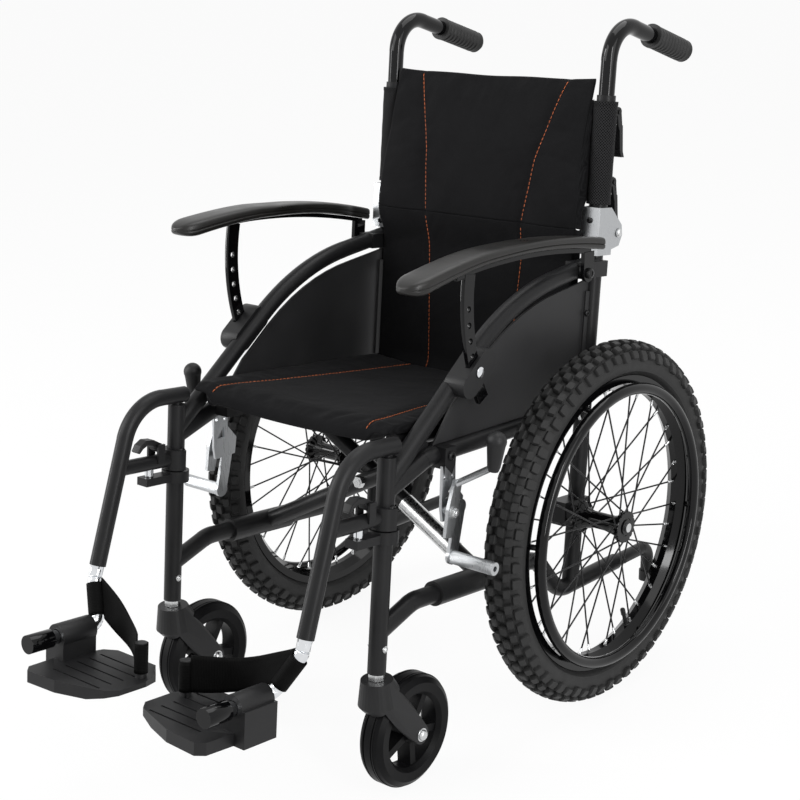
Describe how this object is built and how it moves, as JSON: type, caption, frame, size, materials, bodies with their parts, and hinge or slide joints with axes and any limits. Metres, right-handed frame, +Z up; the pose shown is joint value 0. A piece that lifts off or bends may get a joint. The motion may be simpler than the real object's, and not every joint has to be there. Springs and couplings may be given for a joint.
{
  "type": "all-terrain folding wheelchair",
  "caption": "Self-propelled folding wheelchair with knobbly rear tyres, spoked wheels, handrims, swing-away footrests, flip-up armrests, lever brakes and a folding back.",
  "frame": {"origin": "on the floor under the middle of the chair's box", "axes": "+Z up, the chair faces -Y, +X to the user's left"},
  "size_m": [0.5972, 1.0157, 0.9295],
  "materials": {
    "frame_paint": "satin powder coat",
    "gloss_paint": "gloss paint",
    "guard_plastic": "fine grained moulding",
    "pad_plastic": "soft-touch grained moulding",
    "alloy": "satin",
    "chrome": "bright",
    "tyre_rubber": "knobbly tread",
    "caster_rubber": "matt",
    "rim_paint": "gloss black",
    "webbing": "woven webbing",
    "cover_fabric": "woven polyester"
  },
  "bodies": {
    "left_frame": {"left_side_frame": "frame_paint", "left_side_guard": "guard_plastic", "left_armrest_bracket": "guard_plastic", "left_tip_bar": "gloss_paint", "left_back_hinge": "alloy", "left_brake_bracket": "alloy", "back_cover_lower": "cover_fabric"},
    "right_frame": {"right_side_frame": "frame_paint", "right_side_guard": "guard_plastic", "right_armrest_bracket": "guard_plastic", "right_tip_bar": "gloss_paint", "right_back_hinge": "alloy", "right_brake_bracket": "alloy"},
    "brace_a": {"brace_a": "frame_paint", "brace_bolt": "chrome"},
    "brace_b": {"brace_b": "frame_paint", "seat_cover": "cover_fabric"},
    "left_wheel": {"left_tyre": "tyre_rubber", "left_rim": "rim_paint", "left_hub": "rim_paint", "left_handrim": "gloss_paint"},
    "left_caster_fork": {"left_caster_fork": "guard_plastic"},
    "left_caster_wheel": {"left_caster_wheel": "caster_rubber"},
    "left_brake_lever": {"left_brake_lever": "alloy"},
    "left_brake_arm": {"left_brake_arm": "alloy"},
    "left_armrest": {"left_arm_pad": "pad_plastic", "left_arm_stem": "gloss_paint"},
    "left_arm_button": {"left_arm_button": "chrome"},
    "left_hanger": {"left_hanger": "frame_paint"},
    "left_hanger_latch": {"left_hanger_latch": "guard_plastic"},
    "left_leg_tube": {"left_leg_tube": "chrome", "left_heel_strap": "webbing"},
    "left_footplate": {"left_footplate": "guard_plastic"},
    "left_back_cane": {"left_back_cane": "frame_paint", "back_cover_upper": "cover_fabric"},
    "left_back_release": {"left_back_release": "guard_plastic"},
    "left_push_handle": {"left_push_handle": "gloss_paint", "left_grip": "caster_rubber"},
    "left_handle_clamp": {"left_handle_clamp": "guard_plastic"},
    "right_wheel": {"right_tyre": "tyre_rubber", "right_rim": "rim_paint", "right_hub": "rim_paint", "right_handrim": "gloss_paint"},
    "right_caster_fork": {"right_caster_fork": "guard_plastic"},
    "right_caster_wheel": {"right_caster_wheel": "caster_rubber"},
    "right_brake_lever": {"right_brake_lever": "alloy"},
    "right_brake_arm": {"right_brake_arm": "alloy"},
    "right_armrest": {"right_arm_pad": "pad_plastic", "right_arm_stem": "gloss_paint"},
    "right_arm_button": {"right_arm_button": "chrome"},
    "right_hanger": {"right_hanger": "frame_paint"},
    "right_hanger_latch": {"right_hanger_latch": "guard_plastic"},
    "right_leg_tube": {"right_leg_tube": "chrome", "right_heel_strap": "webbing"},
    "right_footplate": {"right_footplate": "guard_plastic"},
    "right_back_cane": {"right_back_cane": "frame_paint"},
    "right_back_release": {"right_back_release": "guard_plastic"},
    "right_push_handle": {"right_push_handle": "gloss_paint", "right_grip": "caster_rubber"},
    "right_handle_clamp": {"right_handle_clamp": "guard_plastic"}
  },
  "joints": [
    {"name": "fold", "type": "hinge", "parent": "left_frame", "child": "brace_a", "pos_m": [0.189, 0.17639, 0.20058], "axis": [0, 0.99, -0.1409], "range_deg": [0, 40], "deforming": ["seat_cover", "back_cover_lower", "back_cover_upper", "left_heel_strap", "right_heel_strap"]},
    {"name": "brace_cross", "type": "hinge", "parent": "brace_a", "child": "brace_b", "pos_m": [0, 0.19051, 0.29973], "axis": [0, 0.99, -0.1409], "range_deg": [-80, 0]},
    {"name": "right_lower_hinge", "type": "hinge", "parent": "brace_b", "child": "right_frame", "pos_m": [-0.189, 0.17639, 0.20058], "axis": [0, 0.99, -0.1409], "range_deg": [0, 40]},
    {"name": "left_wheel_spin", "type": "hinge", "parent": "left_frame", "child": "left_wheel", "pos_m": [0.2566, 0.18457, 0.258], "axis": [1, 0, 0], "continuous": true},
    {"name": "left_caster_swivel", "type": "hinge", "parent": "left_frame", "child": "left_caster_fork", "pos_m": [0.189, -0.22891, 0.12], "axis": [0, 0, 1], "continuous": true},
    {"name": "left_caster_spin", "type": "hinge", "parent": "left_caster_fork", "child": "left_caster_wheel", "pos_m": [0.189, -0.17891, 0.076], "axis": [1, 0, 0], "continuous": true},
    {"name": "left_brake_lever_turn", "type": "hinge", "parent": "left_frame", "child": "left_brake_lever", "pos_m": [0.22, -0.10399, 0.35967], "axis": [1, 0, 0], "range_deg": [0, 45]},
    {"name": "left_brake_arm_turn", "type": "hinge", "parent": "left_frame", "child": "left_brake_arm", "pos_m": [0.212, -0.07995, 0.35827], "axis": [1, 0, 0], "range_deg": [0, 17.3]},
    {"name": "left_armrest_lift", "type": "hinge", "parent": "left_frame", "child": "left_armrest", "pos_m": [0.206, 0.21833, 0.60167], "axis": [1, 0, 0], "range_deg": [-52, 18]},
    {"name": "left_arm_button_press", "type": "slide", "parent": "left_frame", "child": "left_arm_button", "axis": [-1, 0, 0], "range_m": [0, 0.003], "stiffness_N_per_m": 300},
    {"name": "left_hanger_swing", "type": "hinge", "parent": "left_frame", "child": "left_hanger", "pos_m": [0.189, -0.20946, 0.31408], "axis": [0, 0.1409, 0.99], "range_deg": [0, 90]},
    {"name": "left_hanger_latch_lift", "type": "hinge", "parent": "left_hanger", "child": "left_hanger_latch", "pos_m": [0.189, -0.23285, 0.40528], "axis": [1, 0, 0], "range_deg": [-30, 0]},
    {"name": "left_leg_slide", "type": "slide", "parent": "left_hanger", "child": "left_leg_tube", "axis": [0, -0.3875, -0.9219], "range_m": [0, 0.06]},
    {"name": "left_footplate_flip", "type": "hinge", "parent": "left_leg_tube", "child": "left_footplate", "pos_m": [0.161, -0.40514, 0.21062], "axis": [0, 0.99, -0.1409], "range_deg": [0, 108], "deforming": ["left_heel_strap"]},
    {"name": "left_back_fold", "type": "hinge", "parent": "left_frame", "child": "left_back_cane", "pos_m": [0.189, 0.30174, 0.64131], "axis": [1, 0, 0], "range_deg": [-90, 0], "deforming": ["back_cover_upper", "back_cover_lower"]},
    {"name": "left_back_release_lift", "type": "hinge", "parent": "left_back_cane", "child": "left_back_release", "pos_m": [0.189, 0.30468, 0.7116], "axis": [1, 0, 0], "range_deg": [0, 25]},
    {"name": "left_handle_slide", "type": "slide", "parent": "left_back_cane", "child": "left_push_handle", "axis": [0, 0.1409, 0.99], "range_m": [0, 0.08]},
    {"name": "left_handle_clamp_open", "type": "hinge", "parent": "left_back_cane", "child": "left_handle_clamp", "pos_m": [0.189, 0.3182, 0.80664], "axis": [1, 0, 0], "range_deg": [0, 80]},
    {"name": "right_wheel_spin", "type": "hinge", "parent": "right_frame", "child": "right_wheel", "pos_m": [-0.2566, 0.18457, 0.258], "axis": [1, 0, 0], "continuous": true},
    {"name": "right_caster_swivel", "type": "hinge", "parent": "right_frame", "child": "right_caster_fork", "pos_m": [-0.189, -0.22891, 0.12], "axis": [0, 0, 1], "continuous": true},
    {"name": "right_caster_spin", "type": "hinge", "parent": "right_caster_fork", "child": "right_caster_wheel", "pos_m": [-0.189, -0.17891, 0.076], "axis": [1, 0, 0], "continuous": true},
    {"name": "right_brake_lever_turn", "type": "hinge", "parent": "right_frame", "child": "right_brake_lever", "pos_m": [-0.22, -0.10399, 0.35967], "axis": [1, 0, 0], "range_deg": [0, 45]},
    {"name": "right_brake_arm_turn", "type": "hinge", "parent": "right_frame", "child": "right_brake_arm", "pos_m": [-0.212, -0.07995, 0.35827], "axis": [1, 0, 0], "range_deg": [0, 17.3]},
    {"name": "right_armrest_lift", "type": "hinge", "parent": "right_frame", "child": "right_armrest", "pos_m": [-0.206, 0.21833, 0.60167], "axis": [1, 0, 0], "range_deg": [-52, 22.5]},
    {"name": "right_arm_button_press", "type": "slide", "parent": "right_frame", "child": "right_arm_button", "axis": [1, 0, 0], "range_m": [0, 0.003], "stiffness_N_per_m": 300},
    {"name": "right_hanger_swing", "type": "hinge", "parent": "right_frame", "child": "right_hanger", "pos_m": [-0.189, -0.20946, 0.31408], "axis": [0, 0.1409, 0.99], "range_deg": [-90, 0]},
    {"name": "right_hanger_latch_lift", "type": "hinge", "parent": "right_hanger", "child": "right_hanger_latch", "pos_m": [-0.189, -0.23285, 0.40528], "axis": [1, 0, 0], "range_deg": [-30, 0]},
    {"name": "right_leg_slide", "type": "slide", "parent": "right_hanger", "child": "right_leg_tube", "axis": [0, -0.3875, -0.9219], "range_m": [0, 0.06]},
    {"name": "right_footplate_flip", "type": "hinge", "parent": "right_leg_tube", "child": "right_footplate", "pos_m": [-0.161, -0.40514, 0.21062], "axis": [0, 0.99, -0.1409], "range_deg": [-108, 0], "deforming": ["right_heel_strap"]},
    {"name": "right_back_fold", "type": "hinge", "parent": "right_frame", "child": "right_back_cane", "pos_m": [-0.189, 0.30174, 0.64131], "axis": [1, 0, 0], "range_deg": [-90, 0]},
    {"name": "right_back_release_lift", "type": "hinge", "parent": "right_back_cane", "child": "right_back_release", "pos_m": [-0.189, 0.30468, 0.7116], "axis": [1, 0, 0], "range_deg": [0, 25]},
    {"name": "right_handle_slide", "type": "slide", "parent": "right_back_cane", "child": "right_push_handle", "axis": [0, 0.1409, 0.99], "range_m": [0, 0.08]},
    {"name": "right_handle_clamp_open", "type": "hinge", "parent": "right_back_cane", "child": "right_handle_clamp", "pos_m": [-0.189, 0.3182, 0.80664], "axis": [1, 0, 0], "range_deg": [0, 80]}
  ],
  "couplings": [
    {"joint": "brace_cross", "follows": "fold", "ratio": -2},
    {"joint": "right_lower_hinge", "follows": "fold", "ratio": 1},
    {"joint": "left_brake_arm_turn", "follows": "left_brake_lever_turn", "ratio": 0.38444},
    {"joint": "left_footplate_flip", "follows": "fold", "ratio": 2.7},
    {"joint": "right_brake_arm_turn", "follows": "right_brake_lever_turn", "ratio": 0.38444},
    {"joint": "right_footplate_flip", "follows": "fold", "ratio": -2.7},
    {"joint": "right_back_fold", "follows": "left_back_fold", "ratio": 1}
  ]
}
